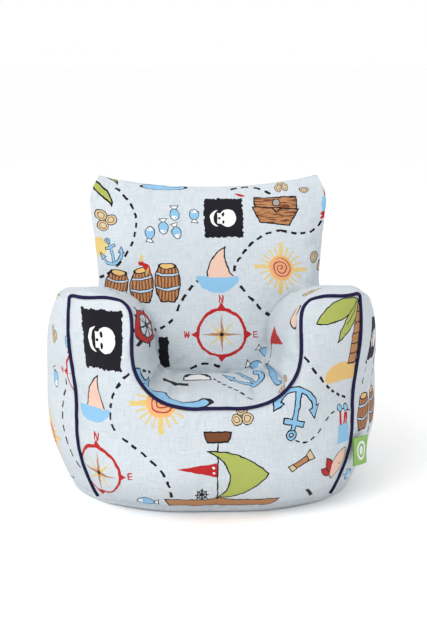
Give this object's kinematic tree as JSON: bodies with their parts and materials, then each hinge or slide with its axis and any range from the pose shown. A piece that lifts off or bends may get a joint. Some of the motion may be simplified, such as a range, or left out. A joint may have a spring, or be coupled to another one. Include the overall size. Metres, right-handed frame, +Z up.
{
  "type": "bean bag armchair",
  "caption": "Toddler's bead-filled armchair: drum-shaped body with a scooped seat, two arms, a leaning headrest and piped front seams.",
  "frame": {"origin": "the middle of the flat base on the floor", "axes": "+Z up, the sitter faces -Y, +X is to the viewer's right when the chair is seen from the front"},
  "size_m": [0.5166, 0.4645, 0.4719],
  "materials": {
    "printed_cloth": "woven polycotton with a pale blue hatched print",
    "piping": "navy bias tape",
    "cord": "soft cotton filler cord",
    "base_cloth": "plain pale blue woven polycotton",
    "zip_tape": "woven polyester tape",
    "zip_coil": "nylon coil",
    "zip_metal": "white enamelled zinc",
    "tag": "green woven ribbon",
    "liner": "white non-woven polypropylene",
    "beads": "expanded polystyrene beads"
  },
  "bodies": {
    "chair": {"front_panel": "printed_cloth", "seat_band": "printed_cloth", "inside_back_panel": "printed_cloth", "headrest_rear_panel": "printed_cloth", "side_panel_left": "printed_cloth", "side_panel_right": "printed_cloth", "base_panel": "base_cloth", "piping_cover": "piping", "piping_cord": "cord", "zip_tape_left": "zip_tape", "zip_tape_right": "zip_tape", "zip_coil_left": "zip_coil", "zip_coil_right": "zip_coil", "zip_top_stop": "zip_metal", "zip_bottom_stop": "zip_metal", "inner_liner": "liner", "bead_fill": "beads"},
    "zip_slider": {"zip_slider": "zip_metal"},
    "side_tag": {"side_tag": "tag"}
  },
  "joints": [
    {"name": "zip_slide", "type": "slide", "parent": "chair", "child": "zip_slider", "axis": [0, 0, 1], "range_m": [0, 0.1674]},
    {"name": "tag_fold", "type": "hinge", "parent": "chair", "child": "side_tag", "pos_m": [0.20885, -0.16316, 0.082], "axis": [0, 0, 1], "range_deg": [-110, 0]}
  ]
}
